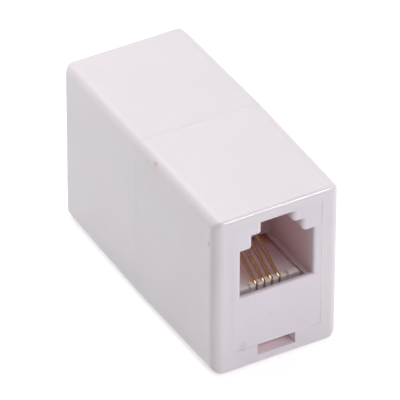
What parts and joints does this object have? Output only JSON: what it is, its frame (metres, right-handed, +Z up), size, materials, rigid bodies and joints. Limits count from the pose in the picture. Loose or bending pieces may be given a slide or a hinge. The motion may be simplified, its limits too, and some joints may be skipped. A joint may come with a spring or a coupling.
{
  "type": "telephone inline coupler",
  "caption": "Pale moulded inline coupler box with a modular telephone jack in each end, bent spring contact wires and internal leads that join the jacks.",
  "frame": {"origin": "middle of the underside, at the seam between the half shells", "axes": "+Z up, +Y along the length from the front jack to the rear jack, +X across"},
  "size_m": [0.0172, 0.037, 0.0226],
  "materials": {
    "shell_abs": "moulded ABS, pale pinkish white, satin gloss",
    "insert_abs": "moulded ABS, pale pinkish white, satin gloss",
    "carrier_pbt": "moulded PBT, off-white",
    "contact_gold": "gold-plated spring wire",
    "crimp_tin": "tin-plated brass strip, rolled",
    "core_copper": "tinned copper wire",
    "lead_black": "extruded PVC insulation, black",
    "lead_red": "extruded PVC insulation, red",
    "lead_green": "extruded PVC insulation, green",
    "lead_yellow": "extruded PVC insulation, yellow"
  },
  "bodies": {
    "root": {"shell_front": "shell_abs", "shell_rear": "shell_abs", "jack_insert_front": "insert_abs", "contact_carrier_front": "carrier_pbt", "contact_front_1": "contact_gold", "crimp_front_1": "crimp_tin", "contact_front_2": "contact_gold", "crimp_front_2": "crimp_tin", "contact_front_3": "contact_gold", "crimp_front_3": "crimp_tin", "contact_front_4": "contact_gold", "crimp_front_4": "crimp_tin", "jack_insert_rear": "insert_abs", "contact_carrier_rear": "carrier_pbt", "contact_rear_1": "contact_gold", "crimp_rear_1": "crimp_tin", "contact_rear_2": "contact_gold", "crimp_rear_2": "crimp_tin", "contact_rear_3": "contact_gold", "crimp_rear_3": "crimp_tin", "contact_rear_4": "contact_gold", "crimp_rear_4": "crimp_tin", "lead_black": "lead_black", "lead_core_black": "core_copper", "lead_red": "lead_red", "lead_core_red": "core_copper", "lead_green": "lead_green", "lead_core_green": "core_copper", "lead_yellow": "lead_yellow", "lead_core_yellow": "core_copper"}
  },
  "joints": []
}
